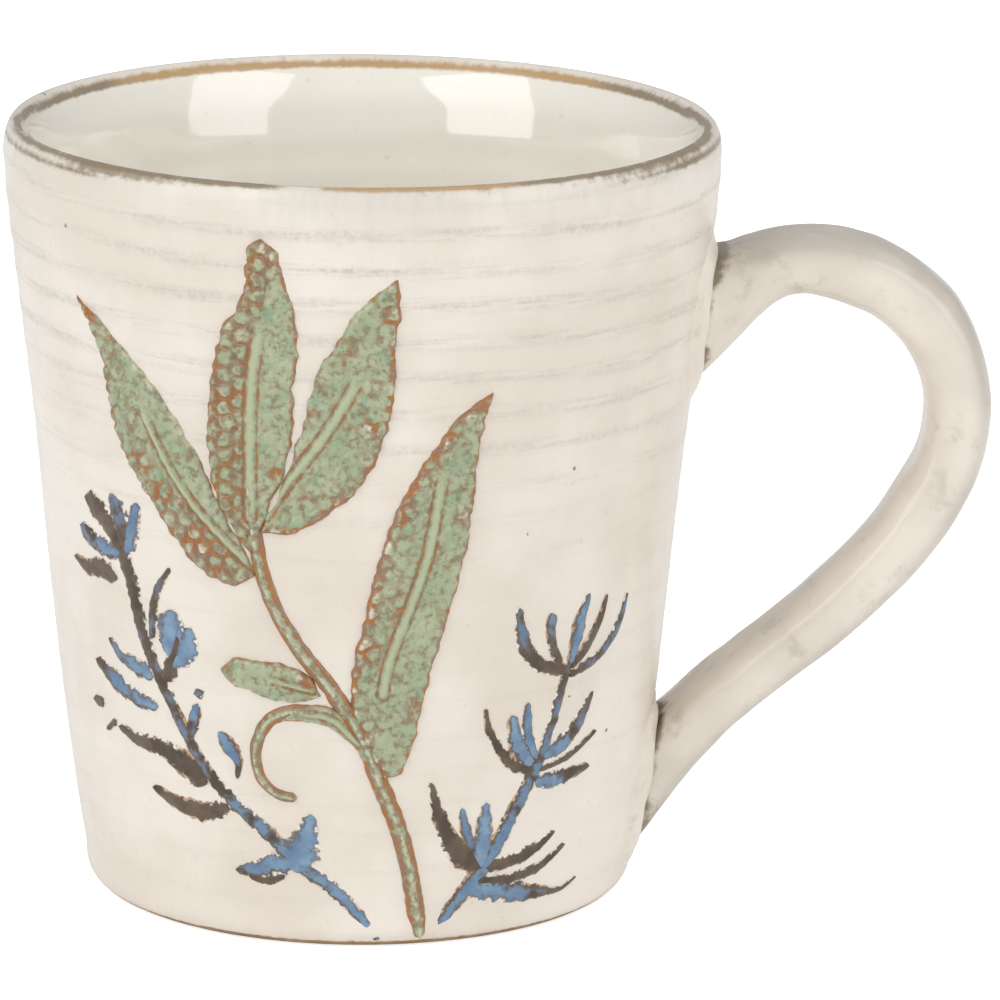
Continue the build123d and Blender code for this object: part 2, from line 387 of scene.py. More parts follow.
def new_finish(name, depth):
    """A glossy glaze material; depth is how deep its skin waves are, in millimetres."""
    finish = bpy.data.materials.new(name)
    finish.use_nodes = True
    tree = finish.node_tree
    shader = tree.nodes["Principled BSDF"]
    shader.inputs["IOR"].default_value = 1.5
    place = put(tree, "TexCoord").outputs["Object"]
    skin = use(tree, glaze_skin, Place=place)
    bump = put(tree, "Bump", {"Height": skin["Height"], "Distance": depth * MM, "Strength": 1.0})
    tree.links.new(bump.outputs["Normal"], shader.inputs["Normal"])
    return finish, tree, shader, place


CREAM = srgb(238, 230, 219)
CREAM_THIN = srgb(226, 216, 203)
RING_SHADE_GREY = srgb(196, 189, 176)
LIP_STREAK_SHADE_GREY = srgb(216, 212, 204)
PUTTY = srgb(250, 246, 236)
PUTTY_THICK = srgb(248, 243, 231)
LIP_BROWN = srgb(140, 122, 96)
LIP_ORANGE = srgb(190, 152, 100)
SCORCH_BROWN = srgb(152, 136, 112)
SPECK = srgb(105, 92, 76)
BARE_CLAY = srgb(172, 146, 112)
BARE_CLAY_DARK = srgb(150, 122, 90)
STRAP_BEIGE = srgb(236, 227, 215)
STRAP_THIN = srgb(225, 216, 204)
STRAP_THIN_SHADED_BACK = srgb(199, 190, 178)
STRAP_GREY = srgb(190, 180, 162)
POOL_AND_SHADE = srgb(124, 112, 86)


def cream_glaze_finish():
    """Cream glaze outside, putty glaze inside, iron breaking through on the lip, bare foot."""
    finish, tree, shader, place = new_finish("cream glaze", 0.04)
    cloud = use(tree, glaze_cloud, Place=place, Broad=48.0, Fine=380.0)
    outside = tint(tree, cloud["Cloud"], CREAM_THIN, CREAM)
    # Grey on the finger ridges is partly thin glaze and partly painted shade of the throwing rings, broken
    # along its length.
    drawn = put(tree, "Mapping", {"Vector": place, "Scale": (60.0, 60.0, 900.0)})
    along = soft(tree, noisy(tree, drawn.outputs[0], 1.0, 6.0, 0.7), 0.4, 0.62)
    dusty = soft(tree, noisy(tree, place, 1300.0, 3.0, 0.7), 0.35, 0.65, 0.35, 1.0)
    ring = times(tree, times(tree, mask(tree, "ring"), along), dusty)
    outside = tint(tree, times(tree, ring, 0.85), outside, RING_SHADE_GREY)
    # Grey streaks under the lip at the front and sides: partly streaky thin glaze, partly painted shade under
    # the lip's rounding.
    run = put(tree, "Mapping", {"Vector": place, "Scale": (700.0, 700.0, 90.0)})
    runs = noisy(tree, run.outputs[0], 1.0, 4.0)
    veil = times(tree, mask(tree, "veil"), soft(tree, runs, 0.4, 0.62, 0.25, 1.0))
    outside = tint(tree, times(tree, veil, 0.75), outside, LIP_STREAK_SHADE_GREY)
    specks = use(tree, iron_specks, Place=place, Spacing=190.0, Size=0.085, Share=0.18)
    outside = tint(tree, times(tree, specks["Mask"], 0.8), outside, SPECK)
    inner_cloud = use(tree, glaze_cloud, Place=place, Broad=90.0, Fine=300.0)
    inside = tint(tree, inner_cloud["Cloud"], PUTTY_THICK, PUTTY)
    colour = tint(tree, mask(tree, "inside"), outside, inside)
    scorch = mask(tree, "scorch")
    uneven = centred(tree, noisy(tree, place, 620.0, 5.0, 0.7))
    burnt = soft(tree, broken(tree, scorch, uneven, 1.3), 0.12, 0.7)
    colour = tint(tree, times(tree, burnt, 0.85), colour, SCORCH_BROWN)
    grit = use(tree, iron_specks, Place=place, Spacing=1500.0, Size=0.4, Share=0.35)
    gritty = times(tree, grit["Mask"], soft(tree, scorch, 0.25, 0.7))
    colour = tint(tree, times(tree, gritty, 0.6), colour, SPECK)
    orange = plus(tree, mask(tree, "orange"), centred(tree, noisy(tree, place, 90.0, 4.0)))
    warm = tint(tree, soft(tree, orange, 0.25, 0.7), LIP_BROWN, LIP_ORANGE)
    line = soft(tree, broken(tree, mask(tree, "crest"), uneven, 0.8), 0.12, 0.6)
    colour = tint(tree, times(tree, line, 0.9), colour, warm)
    bare = soft(tree, broken(tree, mask(tree, "foot"), uneven, 0.8), 0.4, 0.6)
    clay_colour = tint(tree, cloud["Grain"], BARE_CLAY, BARE_CLAY_DARK)
    colour = tint(tree, bare, colour, clay_colour)
    tree.links.new(colour, shader.inputs["Base Color"])
    gloss = between(tree, mask(tree, "inside"), 0.26, 0.09)
    tree.links.new(between(tree, bare, gloss, 0.8), shader.inputs["Roughness"])
    tree.links.new(mask(tree, "inside"), shader.inputs["Coat Weight"])
    shader.inputs["Coat IOR"].default_value = 1.6
    shader.inputs["Coat Roughness"].default_value = 0.04
    return finish


def pooled_glaze_finish(name, thin, thick, back=None):
    """Glaze over the handle or the slip at its roots: mottled, and dark olive where it pools, with painted
    shade in the crevice at each root. The last argument, if given, is its colour on the strap's outer face,
    where thinner glaze and painted shade both darken it."""
    finish, tree, shader, place = new_finish(name, 0.05)
    cloud = use(tree, glaze_cloud, Place=place, Broad=85.0, Fine=360.0)
    colour = tint(tree, cloud["Cloud"], thin, thick)
    if back:
        # Painted shade darkens the strap's outer face, along with the grey of its thinner glaze.
        outer = times(tree, mask(tree, "back"), soft(tree, cloud["Cloud"], 0.0, 1.0, 0.85, 0.55))
        colour = tint(tree, outer, colour, back)
    patch = soft(tree, noisy(tree, place, 210.0, 6.0, 0.65), 0.52, 0.68, 0.0, 0.6)
    colour = tint(tree, times(tree, patch, cloud["Grain"]), colour, STRAP_GREY)
    specks = use(tree, iron_specks, Place=place, Spacing=300.0, Size=0.1, Share=0.16)
    colour = tint(tree, times(tree, specks["Mask"], 0.7), colour, SPECK)
    # Dark olive at the roots is pooled glaze together with painted shade in the crevice.
    uneven = centred(tree, noisy(tree, place, 700.0, 4.0, 0.7))
    pooled = soft(tree, plus(tree, mask(tree, "pool"), uneven), 0.25, 0.85)
    colour = tint(tree, times(tree, pooled, 0.9), colour, POOL_AND_SHADE)
    tree.links.new(colour, shader.inputs["Base Color"])
    shader.inputs["Roughness"].default_value = 0.2
    return finish


SAGE = srgb(160, 174, 140)
SAGE_PALE = srgb(176, 182, 150)
SAGE_DEEP = srgb(136, 162, 132)
SAGE_GREY = srgb(166, 162, 142)
IRON_BROWN = srgb(148, 110, 82)
IRON_ORANGE = srgb(166, 108, 56)
IRON_FLECK = srgb(128, 108, 82)
PEBBLE_CREAM = srgb(226, 218, 196)
EDGE_CREAM = srgb(220, 212, 182)
RIB_PALE = srgb(178, 188, 152)


def sage_glaze_finish():
    """Green glaze that pools on the pebbles of a leaf and breaks to iron brown between them."""
    finish, tree, shader, place = new_finish("sage glaze", 0.06)
    gap = mask(tree, "gap")
    iron = mask(tree, "iron")
    cloud = use(tree, glaze_cloud, Place=place, Broad=230.0, Fine=1100.0)
    uneven = centred(tree, cloud["Grain"])
    flow = noisy(tree, place, 420.0, 4.0)
    green = tint(tree, cloud["Cloud"], SAGE, SAGE_PALE)
    green = tint(tree, soft(tree, flow, 0.52, 0.66, 0.0, 0.7), green, SAGE_DEEP)
    green = tint(tree, soft(tree, flow, 0.3, 0.42, 0.6, 0.0), green, SAGE_GREY)
    cream = times(tree, soft(tree, iron, 0.6, 1.0), soft(tree, mask(tree, "chance"), 0.35, 0.6))
    colour = tint(tree, cream, green, PEBBLE_CREAM)
    halo = broken(tree, mask(tree, "halo"), uneven, 0.5)
    colour = tint(tree, soft(tree, halo, 0.3, 0.9), colour, EDGE_CREAM)
    flecks = noisy(tree, place, 1050.0, 4.0, 0.6)
    fleck = soft(tree, plus(tree, flecks, times(tree, iron, 0.08)), 0.47, 0.7)
    colour = tint(tree, times(tree, fleck, 0.8), colour, IRON_FLECK)
    wash = tint(tree, soft(tree, flow, 0.42, 0.62), IRON_BROWN, IRON_ORANGE)
    reach = plus(tree, times(tree, iron, 0.38), times(tree, uneven, 0.45))
    brown = soft(tree, sums(tree, "SUBTRACT", reach, gap), -0.2, 0.16)
    brown = times(tree, brown, soft(tree, iron, 0.15, 0.7))
    brown = times(tree, brown, soft(tree, flow, 0.35, 0.55, 0.6, 0.95))
    colour = tint(tree, brown, colour, wash)
    groove = broken(tree, mask(tree, "groove"), uneven, 0.45)
    colour = tint(tree, soft(tree, groove, 0.28, 0.8, 0.0, 0.9), colour, wash)
    colour = tint(tree, mask(tree, "rib"), colour, RIB_PALE)
    tree.links.new(colour, shader.inputs["Base Color"])
    shader.inputs["Roughness"].default_value = 0.26
    return finish


BLUE = srgb(132, 160, 184)
BLUE_DEEP = srgb(98, 126, 158)
DARK_SLIP = srgb(78, 60, 42)
DARK_SLIP_THIN = srgb(112, 94, 74)
RUST = srgb(184, 140, 96)


def blue_slip_finish():
    """Cobalt slip with an iron outline, iron alone where the brush was loaded with it, and a
    feathered edge where the slip thins out over the cream."""
    finish, tree, shader, place = new_finish("blue slip", 0.03)
    cloud = use(tree, glaze_cloud, Place=place, Broad=300.0, Fine=1400.0)
    uneven = centred(tree, cloud["Grain"])
    core = broken(tree, mask(tree, "core"), uneven, 0.4)
    dark = mask(tree, "dark")
    colour = tint(tree, cloud["Cloud"], BLUE_DEEP, BLUE)
    lean = plus(tree, core, mask(tree, "lean"))
    rim = soft(tree, lean, 0.32, 0.7, 1.0, 0.0)
    rim = times(tree, rim, soft(tree, dark, 0.0, 0.4, 0.65, 1.0))
    loaded = plus(tree, dark, times(tree, centred(tree, cloud["Cloud"]), 0.5))
    whole = soft(tree, loaded, 0.42, 0.75)
    thick = times(tree, soft(tree, core, 0.15, 0.5), cloud["Cloud"])
    brown = tint(tree, thick, DARK_SLIP_THIN, DARK_SLIP)
    colour = tint(tree, times(tree, sums(tree, "MAXIMUM", rim, whole), 0.95), colour, brown)
    blush = noisy(tree, place, 110.0, 2.0)
    halo = tint(tree, soft(tree, blush, 0.5, 0.6, 0.0, 0.8), CREAM, RUST)
    colour = tint(tree, soft(tree, core, 0.1, 0.34), halo, colour)
    tree.links.new(colour, shader.inputs["Base Color"])
    shader.inputs["Roughness"].default_value = 0.3
    shader.inputs["Specular IOR Level"].default_value = 0.28
    return finish


cream_glaze = cream_glaze_finish()
strap_glaze = pooled_glaze_finish("strap glaze", STRAP_THIN, STRAP_BEIGE, STRAP_THIN_SHADED_BACK)
cream_glaze_plain = pooled_glaze_finish("mound glaze", CREAM_THIN, CREAM)
sage_glaze = sage_glaze_finish()
blue_slip = blue_slip_finish()


# ---- thrown cup ----

# Turns are in radians round the cup from its front, positive towards the handle.
BALD_TURN = -0.17          # the lip's brown line breaks here
SCORCHES = [(-0.74, 0.24, 1.0), (0.95, 0.3, 0.8), (0.25, 0.2, 0.22)]  # turn, width, strength


def lip_marks(turn, past):
    """Iron on the lip: a line along its inner edge, one along its outer edge, and a scorched
    land between them. `past` is how far the point is past the crest, towards the inside."""
    x, y = 2.6 * cos(turn), 2.6 * sin(turn)
    patchy = 0.5 + 0.5 * noise.noise(Vector((x, y, 3.0))) + 0.35 * noise.noise(Vector((4 * x, 4 * y, 5.0)))
    inmost = -0.5 + 1.85 * step_up(1.25, 1.9, abs(turn))
    inner = bell(past - inmost, 0.5) * (0.7 + 0.6 * patchy) * (1 - bell(turn - BALD_TURN, 0.07))
    sides = step_up(0.6, 0.95, abs(turn)) * (0.5 + 0.6 * patchy)
    outer = bell(past + 2.1, 0.42) * sides * (1 - step_up(1.5, 1.8, abs(turn)))
    patches = sum(strength * bell(turn - middle, width) for middle, width, strength in SCORCHES)
    patches += 0.1 * step_up(1.4, 1.9, abs(turn))
    land = step_up(-2.6, -1.5, past) * (1 - step_up(0.8, 1.5, past))
    return min(inner + outer, 1.0), min(patches, 1.0) * land * (0.55 + 0.5 * patchy)


def cup():
    outline = through(FOOT + WALL + LIP + INSIDE, 14)
    line = even(outline, ceil(length_of(outline) / OUTLINE_STEP))
    crest = min(range(len(line)), key=lambda i: hypot(line[i][0] - CREST[0], line[i][1] - CREST[1]))
    run = run_along(line)
    clay = Clay("inside", "crest", "orange", "scorch", "ring", "foot", "veil")
    for i, (radius, height) in enumerate(line):
        past = run[i] - run[crest]
        for k in range(TURN_STEPS):
            turn = 2 * pi * k / TURN_STEPS
            ridge = RING_RIDGE if past < 0 else RING_RIDGE_INSIDE
            off = thrown(turn, height, ridge) * min(radius / 25, 1)
            # The finger ridges get painted ring shade as well as the grey of thin glaze.
            ring = max(finger_ring(turn, height) + 0.15, 0) / 1.15
            ring *= (0.2 + 0.8 * step_up(48, 80, height)) * (past < -3)
            around = turn if turn < pi else turn - 2 * pi
            line_mark, scorch = lip_marks(around, past)
            # Weights the grey under the lip at the front and the sides, which is partly painted shade.
            front = bell(around - 0.12, 0.5) + 0.6 * bell(abs(around) - 1.2, 0.5)
            clay.point(
                Vector(((radius + off) * sin(turn), -(radius + off) * cos(turn), height)),
                inside=step_up(1.5, 2.5, past),
                crest=line_mark,
                orange=bell(around - 0.15, 0.3) + 0.75 * step_up(2.0, 2.5, abs(around)),
                scorch=scorch,
                ring=ring,
                foot=1.0 - step_up(0.3, 1.7, height) if past < 0 else 0.0,
                veil=min(front, 1) * step_up(-7.0, -2.4, past) * (1 - step_up(0.2, 1.2, past)),
            )
    clay.net(0, len(line), TURN_STEPS, ring=True)
    clay.fire("thrown_cup", cream_glaze, "cream_glaze", "cup_body")


# ---- handle and the slip that holds it ----

STRAP_ROUND = 84           # points round the strap
SQUARENESS = 3.3           # 2 makes the strap an oval, more makes its faces flatter
ROOT_SUNK = 2.2            # a slip mound starts this far inside the root's edge


def strap_edge(width, thickness):
    """Outline of the strap across its run: flat faces, rounded long edges."""
    outline = []
    for k in range(STRAP_ROUND):
        turn = 2 * pi * (k + 0.5) / STRAP_ROUND
        c, s = cos(turn), sin(turn)
        outline.append((
            width / 2 * abs(c) ** (2 / SQUARENESS) * (1 if c > 0 else -1),
            thickness / 2 * abs(s) ** (2 / SQUARENESS) * (1 if s > 0 else -1),
        ))
    return outline


def strap():
    clay = Clay("pool", "back")
    line = through(STRAP, 12)
    for i, (x, z, heading, thickness, width) in enumerate(line):
        ahead = radians(heading)
        out = Vector((-sin(ahead), 0, cos(ahead)))
        for k, (across, off) in enumerate(strap_edge(width, thickness)):
            from_middle = out * off + Vector((0, across, 0))
            place = Vector((x, 0, z)) + from_middle
            about = 2 * pi * k / STRAP_ROUND
            lump = 0.3 * noise.noise(Vector((cos(about) * 0.9, sin(about) * 0.9, i / 11)))
            lump += 0.1 * noise.noise(Vector((cos(about) * 2.4, sin(about) * 2.4, i / 4)))
            place += from_middle.normalized() * lump
            off_wall = hypot(place.x, place.y) - wall_radius(place.z)
            near_wall = max(off_wall - 1.0, 0)
            # Dark at the roots: pooled glaze with painted shade in the crevice by the wall, and painted shade
            # spreading along the outer face near the wall.
            deep = 0.45 + 0.55 * step_up(-0.15, 0.3, waver(place.y, place.z, 2.6, 15.0))
            # The strap's outer face gets painted shade as well as the grey of thinner glaze.
            outward = step_up(0.1, 0.7, sin(about))
            pool = deep * bell(near_wall, 1.0) + 0.45 * outward * bell(near_wall, 5.5)
            clay.point(place, pool=min(pool, 1), back=outward)
    clay.net(0, len(line), STRAP_ROUND, ring=True)
    clay.close_ends(len(line), STRAP_ROUND)
    clay.fire("strap_handle", strap_glaze, "cream_glaze", "handle")


def slip_mound(name, node, root_height, half_up, half_across, beside=6.0, above=2.0):
    """Slip pressed up round a root of the handle, with a groove where the strap goes in. It
    spreads further beside the root than above and below it."""
    clay = Clay("pool")
    around, rings = 160, 30
    for i in range(rings):
        share = i / (rings - 1)
        for k in range(around):
            turn = 2 * pi * k / around
            c, s = cos(turn), sin(turn)
            edge = (abs(c / half_across) ** 3 + abs(s / half_up) ** 3) ** (-1 / 3)
            spread = above + (beside - above) * step_up(0.1, 0.8, abs(c))
            away = -ROOT_SUNK + share * (spread + ROOT_SUNK)
            place, height = (edge + away) * c, root_height + (edge + away) * s
            rise = step_up(-0.7, 0.9, away) * (1 - step_up(0.9, spread, away))
            stand = 0.45 + 0.8 * step_up(0.1, 0.8, abs(c))
            lift = 0.04 + stand * rise * (0.85 + 0.5 * waver(place, height, 6, 9.0))
            lift -= 0.5 * step_up(spread - 1.5, spread, away)
            # Dark at the groove where the strap goes in: pooled glaze with painted crevice shade.
            clay.point(on_wall(WRAP * pi / 2 + place * WRAP / wall_radius(height), height, lift),
                       pool=bell(min(away + 0.2, 0), 0.7) * (away < 0.6) * 0.95)
    clay.net(0, rings, around, ring=True)
    clay.close_ends(rings, around)
    clay.fire(name, cream_glaze_plain, "cream_glaze", node)


# ---- sage spray ----

LEAF_PROUD = 0.6
STEM_PROUD = 0.85
LEAF_SUNK = 0.25           # leaves and stems reach this far into the wall
LEAF_STEP = 0.2            # distance between points on a leaf
LEAF_ROUND = 1.1           # a leaf curves up to its full height over this width
PEBBLE = 2.15              # pitch of the pebbles on a leaf
PEBBLE_DOME = 0.5
RIB_PROUD = 0.16
GROOVE = (0.34, 0.26, 0.26)  # beside a rib: distance off its edge, width and depth
VEIN_STEPS = 200
STRIP_STEP = 0.3           # distance between points along a stem or a stroke
STRIP_ACROSS = 16


def pebble_bed(base, tip):
    """Staggered pebble centres over a leaf, in rows along it, each one a little out of place."""
    run = Vector(tip) - Vector(base)
    long = run.length
    along, across = run / long, Vector((-run.y, run.x)) / long
    centres = []
    for i in range(-3, int(long / PEBBLE) + 4):
        for j in range(-9, 10):
            nudge = 0.5 * (j % 2)
            spot = Vector(base) + along * (i + nudge) * PEBBLE + across * j * PEBBLE * 0.87
            nudge_s = 0.4 * waver(spot.x, spot.y, 1.3, 31.0) * PEBBLE
            nudge_z = 0.4 * waver(spot.x, spot.y, 1.3, 37.0) * PEBBLE
            centres.append((spot.x + nudge_s, spot.y + nudge_z, 0))
    bed = KDTree(len(centres))
    for i, centre in enumerate(centres):
        bed.insert(centre, i)
    bed.balance()
    return bed


def vein_search(vein):
    """A quick way to find the nearest point of a vein."""
    veins = KDTree(len(vein))
    for i, (s, z) in enumerate(vein):
        veins.insert((s, z, 0), i)
    veins.balance()
    return veins


def leaf(clay, left, right, rib, iron_left, iron_right, pebbly, patches=(), rib_width=0.5):
    """One leaf: both edges run from base to tip. iron_left and iron_right are how strongly the
    brown shows along each edge and how far in it reaches; patches add more of it, as (place,
    height, size, strength). `pebbly` is how raised the pebbles are left and right of the rib."""
    left_line, right_line = through(left, 16), through(right, 16)
    rows = ceil(max(length_of(left_line), length_of(right_line)) / LEAF_STEP)
    left_line, right_line = even(left_line, rows), even(right_line, rows)
    across = ceil(max(hypot(b[0] - a[0], b[1] - a[1]) for a, b in zip(left_line, right_line)) / LEAF_STEP)
    vein = even(through(rib, 12), VEIN_STEPS)
    veins = vein_search(vein)
    bed = pebble_bed(left[0], left[-1])
    groove_off, groove_width, groove_deep = GROOVE
    start = len(clay.points)
    for i, (a, b) in enumerate(zip(left_line, right_line)):
        width = max(hypot(b[0] - a[0], b[1] - a[1]), 0.02)
        side = (b[0] - a[0]) / width, (b[1] - a[1]) / width
        for j in range(across + 1):
            u = j / across
            s, z = a[0] + (b[0] - a[0]) * u, a[1] + (b[1] - a[1]) * u
            from_left, from_right = u * width, (1 - u) * width
            inward = min(from_left, from_right)
            fray = (0.42 * waver(s, z, 1.9, 1.0) + 0.16 * waver(s, z, 0.8, 6.0)) * exp(-inward / 1.2)
            push = fray * (1 if from_right < from_left else -1) * min(width / 3, 1)
            s, z = s + side[0] * push, z + side[1] * push
            near, following = bed.find_n((s, z, 0), 2)
            gap = (following[2] - near[2]) / PEBBLE
            spot, index, off_rib = veins.find((s, z, 0))
            before, after = vein[max(index - 2, 0)], vein[min(index + 2, VEIN_STEPS)]
            turn = (after[0] - before[0]) * (z - spot.y) - (after[1] - before[1]) * (s - spot.x)
            raised = pebbly[0] if turn > 0 else pebbly[1]
            ends = 1 - step_up(0.8, 1.0, index / VEIN_STEPS)
            ridge = bell(off_rib, rib_width, 4) * ends
            groove = bell(off_rib - rib_width - groove_off, groove_width) * ends
            plain = 1 - max(ridge, groove)
            iron = iron_left[0] * bell(from_left, iron_left[1])
            iron = max(iron, iron_right[0] * bell(from_right, iron_right[1]), 0.62 * raised)
            for x, y, size, strength in patches:
                iron = max(iron, strength * exp(-(((s - x) ** 2 + (z - y) ** 2) / size ** 2) ** 1.5))
            iron = min(max(iron + 0.28 * waver(s, z, 3.0, 8.0), 0), 1.1)
            raised = max(raised, min(iron, 1))
            inset = min(inward / LEAF_ROUND, 1)
            rise = sqrt(max(1 - (1 - inset) ** 2, 0))
            dome = (step_up(0.0, 0.5, gap) - 0.5) * PEBBLE_DOME * max(raised, 0.35) * plain
            top = LEAF_PROUD + LEAF_SUNK + dome + RIB_PROUD * ridge - groove_deep * groove
            lift = -LEAF_SUNK + rise * top
            outline = bell(inward - 0.2, 0.42) * min(iron * 1.2, 1)
            strength = 0.72 + 0.28 * min(iron + (0.3 if turn > 0 else 0.0), 1)
            clay.point(on_wall(s, z, lift), gap=gap, iron=iron,
                       chance=0.5 + noise.noise(Vector(near[0]) * 1.7),
                       rib=0.9 * ridge, groove=max(0.95 * groove * strength, 0.9 * outline),
                       halo=0.7 * bell(inward, 0.75) * (1 - 0.6 * min(iron, 1)))
    clay.net(start, rows + 1, across + 1)
    clay.close_under(start, rows + 1, across + 1)


def rolled_strip(clay, spine, start_width, end_width, proud):
    """A rolled stem of clay: a pale crest with a brown line down each side."""
    line = through(spine, 14)
    rows = ceil(length_of(line) / STRIP_STEP)
    line = even(line, rows)
    start = len(clay.points)
    for i, (s, z) in enumerate(line):
        side = sideways(line, i)
        half = (start_width + (end_width - start_width) * (i / rows)) / 2
        half *= rounded_end(i * STRIP_STEP, half, 0.01)
        half *= rounded_end((rows - i) * STRIP_STEP, half, 0.01)
        for j in range(STRIP_ACROSS + 1):
            u = 2 * j / STRIP_ACROSS - 1
            frayed = half * (1 + 0.16 * waver(s + u, z, 1.4, 11.0))
            at = s + side[0] * frayed * u, z + side[1] * frayed * u
            crown = bell(u, 0.3, 4)
            body = sqrt(max(1 - u * u, 0))
            lift = -LEAF_SUNK + (LEAF_SUNK + proud) * body * (0.72 + 0.28 * crown)
            lift += 0.06 * waver(at[0], at[1], 1.1, 12.0) * body
            brown = bell(abs(u) - 0.7, 0.28)
            clay.point(on_wall(at[0], at[1], lift), gap=0.3 + 0.6 * crown, iron=1.0, chance=0.47 * crown,
                       rib=0.0, groove=brown * (0.9 + 0.35 * waver(at[0], at[1], 2.2, 14.0)),
                       halo=0.2 * crown)
    clay.net(start, rows + 1, STRIP_ACROSS + 1)
    clay.close_under(start, rows + 1, STRIP_ACROSS + 1)


def sage_clay():
    return Clay("gap", "iron", "chance", "rib", "groove", "halo")


def clay_leaf(node, *edges_and_rib, **look):
    """One leaf as a piece of its own, for the CAD node of the same name."""
    clay = sage_clay()
    leaf(clay, *edges_and_rib, **look)
    clay.fire(node + "_clay", sage_glaze, "sage_glaze", node)


def sage_spray():
    stem = sage_clay()
    rolled_strip(
        stem,
        [(9.3, 1.4), (8.3, 6), (7.0, 12), (5.2, 17.6), (3.0, 22.6), (0.2, 29.4), (-4, 36), (-8, 41.2),
         (-11, 46.6), (-12.6, 52), (-13.3, 57), (-13.6, 62)],
        2.9, 2.1, STEM_PROUD,
    )
    stem.fire("sage_stem_roll", sage_glaze, "sage_glaze", "sage_stem")

    clay_leaf(
        "sage_leaf_tall",
        [(3.4, 23.4), (1.0, 27.6), (-0.8, 32), (-1.3, 37), (0, 43), (2, 52), (5, 61), (9, 67.8),
         (12.6, 72.4), (15.8, 74.4)],
        [(3.4, 23.4), (5.8, 24.4), (7.2, 28), (9.4, 38), (11.6, 46), (13.4, 54), (14.1, 62),
         (14.6, 69), (15.8, 74.4)],
        [(3.0, 35), (3.6, 38.6), (6.2, 46.4), (8.1, 52.6), (9.3, 60), (10.2, 67.4)],
        iron_left=(1.0, 1.7), iron_right=(0.95, 0.8), pebbly=(0.66, 0.42), rib_width=0.42,
        patches=[(0.8, 41, 2.6, 0.9), (4.6, 59.4, 2.6, 0.9), (12.8, 58, 1.6, 0.8), (7.4, 33, 2.2, 0.7)],
    )

    clay_leaf(
        "sage_leaf_centre",
        [(-13.4, 52.6), (-16.4, 56.4), (-18.4, 61), (-19, 66.6), (-18.6, 72), (-17.7, 77.4),
         (-16.4, 82.2), (-13.8, 86.2), (-13.2, 90.4), (-12.6, 93.4), (-11.3, 94.3)],
        [(-13.4, 52.6), (-11.6, 58), (-9.2, 63.4), (-8, 69), (-7.8, 75), (-7.2, 81), (-7.8, 86),
         (-8.9, 90), (-9.4, 92.6), (-11.3, 94.3)],
        [(-13.5, 58), (-13.3, 66), (-13.0, 73), (-12.3, 79), (-11.3, 84.6)],
        iron_left=(1.0, 1.0), iron_right=(0.6, 0.7), pebbly=(1.0, 0.4),
        patches=[(-11.6, 91.2, 2.8, 0.95), (-16, 83, 2.6, 0.85), (-10, 64, 1.8, 0.75), (-15.4, 64, 3.0, 0.8)],
    )

    clay_leaf(
        "sage_leaf_left",
        [(-12.9, 50.2), (-16.6, 48.4), (-20.4, 49.9), (-24.6, 54.2), (-28.2, 58.8), (-31.6, 63.6),
         (-33.2, 69), (-33.9, 75), (-35.6, 79.6), (-37.9, 83.3)],
        [(-12.9, 50.2), (-15, 54.2), (-17.8, 59.4), (-20.2, 65), (-23.8, 70.6), (-27.4, 75),
         (-31, 78.4), (-34, 80.8), (-37.9, 83.3)],
        [(-13.6, 51.6), (-17, 54.6), (-21, 58.7), (-24.6, 63.8), (-27, 68.6), (-28.8, 72.6)],
        iron_left=(1.0, 1.5), iron_right=(0.3, 0.6), pebbly=(0.6, 0.4), rib_width=0.34,
        patches=[(-22, 53.6, 4.6, 1.0), (-26.4, 58.4, 3.6, 0.95), (-17.6, 51, 3.2, 0.95),
                 (-36, 81, 2.4, 0.9), (-28.6, 63, 2.4, 0.8), (-22.4, 58.6, 2.2, 0.8)],
    )

    clay_leaf(
        "sage_leaf_right",
        [(-12.6, 55.8), (-10.2, 61), (-8.2, 66.6), (-6.6, 72), (-5.2, 77), (-2.8, 81.4), (0, 86),
         (4.1, 89.8)],
        [(-12.6, 55.8), (-8.6, 56), (-3.4, 59), (0.6, 63.2), (2.7, 68), (3.9, 74), (4.0, 81),
         (4.4, 86.4), (4.1, 89.8)],
        [(-11.6, 58.2), (-8.8, 62.6), (-5, 68), (-2.1, 73), (0.6, 78.8)],
        iron_left=(0.5, 0.8), iron_right=(1.0, 1.2), pebbly=(0.45, 0.55), rib_width=0.4,
        patches=[(3.8, 84.6, 2.2, 0.8), (-6, 72, 1.8, 0.7), (-9.4, 62, 1.8, 0.8), (1.4, 70, 1.8, 0.8)],
    )

    clay_leaf(
        "sage_leaf_low",
        [(-4.9, 34.6), (-7.6, 33.6), (-11, 33.5), (-14.6, 34.6), (-17.6, 35.8), (-18.6, 37.2)],
        [(-4.9, 34.6), (-6.4, 37.4), (-9, 38.6), (-12.8, 39), (-16.4, 38.9), (-18.6, 37.2)],
        [(-6, 35.4), (-9, 36), (-12, 36.6)],
        iron_left=(0.25, 0.6), iron_right=(0.55, 0.7), pebbly=(0.25, 0.25),
        patches=[(-6.8, 37, 1.8, 0.95), (-17.4, 37.2, 1.8, 0.6)], rib_width=0.15,
    )

